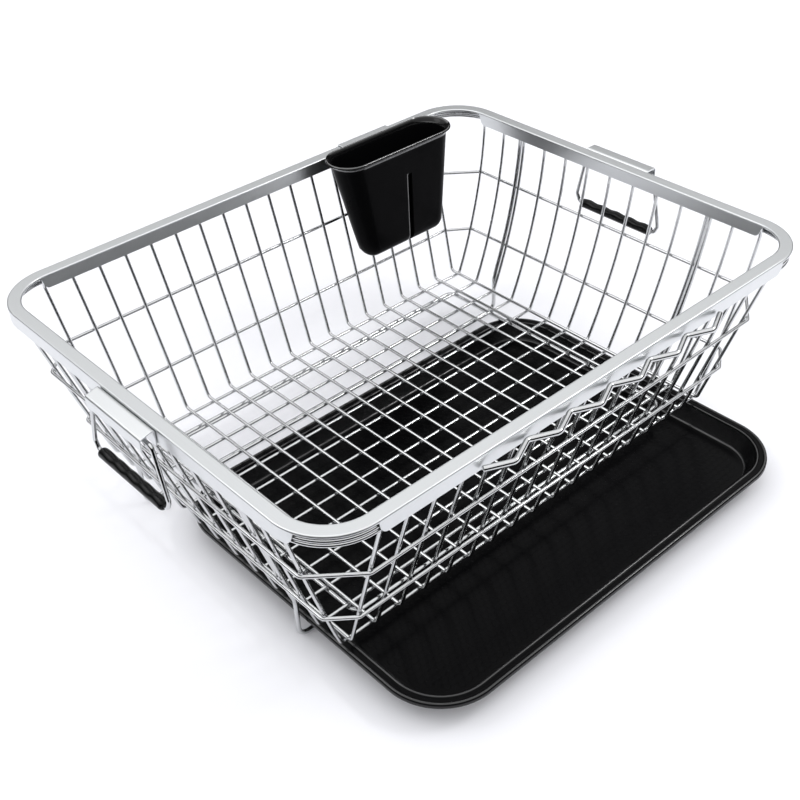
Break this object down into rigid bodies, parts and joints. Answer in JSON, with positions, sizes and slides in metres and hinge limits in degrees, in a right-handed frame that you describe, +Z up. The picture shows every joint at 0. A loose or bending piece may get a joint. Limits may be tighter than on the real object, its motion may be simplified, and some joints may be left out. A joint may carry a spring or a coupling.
{
  "type": "dish drying rack",
  "caption": "Wire dish drying rack with sloping basket walls, a folded rim, folding end handles, a hook-on cutlery cup and a pull-out drip tray.",
  "frame": {"origin": "middle of the whole object's footprint, at table level, with the tray pulled out as shown", "axes": "+X along the long side, +Y across the rack towards the cutlery cup, +Z up"},
  "size_m": [0.546, 0.4548, 0.195],
  "materials": {
    "polished_wire": "polished stainless steel wire",
    "satin_sheet": "satin stainless steel sheet",
    "grip_plastic": "black moulded plastic",
    "cup_plastic": "black moulded plastic with a soft gloss",
    "tray_plastic": "black moulded plastic, embossed floor"
  },
  "bodies": {
    "basket": {"rim_channel": "satin_sheet", "rim_wire_upper": "polished_wire", "rim_wire_middle": "polished_wire", "rim_wire_lower": "polished_wire", "cross_wire_01": "polished_wire", "cross_wire_02": "polished_wire", "cross_wire_03": "polished_wire", "cross_wire_04": "polished_wire", "cross_wire_05": "polished_wire", "cross_wire_06": "polished_wire", "cross_wire_07": "polished_wire", "cross_wire_08": "polished_wire", "cross_wire_09": "polished_wire", "cross_wire_10": "polished_wire", "cross_wire_11": "polished_wire", "cross_wire_12": "polished_wire", "cross_wire_13": "polished_wire", "cross_wire_14": "polished_wire", "cross_wire_15": "polished_wire", "cross_wire_16": "polished_wire", "cross_wire_17": "polished_wire", "cross_wire_18": "polished_wire", "long_wire_01": "polished_wire", "long_wire_02": "polished_wire", "long_wire_03": "polished_wire", "long_wire_04": "polished_wire", "long_wire_05": "polished_wire", "long_wire_06": "polished_wire", "long_wire_07": "polished_wire", "long_wire_08": "polished_wire", "long_wire_09": "polished_wire", "long_wire_10": "polished_wire", "long_wire_11": "polished_wire", "long_wire_12": "polished_wire", "long_wire_13": "polished_wire", "hoop_wire_upper": "polished_wire", "hoop_wire_lower": "polished_wire", "foot_wire_front": "polished_wire", "foot_wire_back": "polished_wire", "floor_frame_ring": "polished_wire", "plate_rest_wire": "polished_wire", "handle_bracket_left": "satin_sheet", "handle_bracket_right": "satin_sheet"},
    "handle_left": {"handle_bail_left": "polished_wire", "handle_grip_left": "grip_plastic"},
    "handle_right": {"handle_bail_right": "polished_wire", "handle_grip_right": "grip_plastic"},
    "cutlery_cup": {"cutlery_cup": "cup_plastic", "cutlery_cup_hook": "satin_sheet"},
    "drip_tray": {"drip_tray": "tray_plastic"}
  },
  "joints": [
    {"name": "handle_left_swing", "type": "hinge", "parent": "basket", "child": "handle_left", "pos_m": [-0.2668, 0.0201, 0.179], "axis": [0, 1, 0], "range_deg": [-8, 200]},
    {"name": "handle_right_swing", "type": "hinge", "parent": "basket", "child": "handle_right", "pos_m": [0.2668, 0.0201, 0.179], "axis": [0, -1, 0], "range_deg": [-8, 200]},
    {"name": "cutlery_cup_lift", "type": "slide", "parent": "basket", "child": "cutlery_cup", "axis": [0, 0, 1], "range_m": [0, 0.12]},
    {"name": "drip_tray_slide", "type": "slide", "parent": "basket", "child": "drip_tray", "axis": [0, 1, 0], "range_m": [-0.22, 0.08875]}
  ]
}
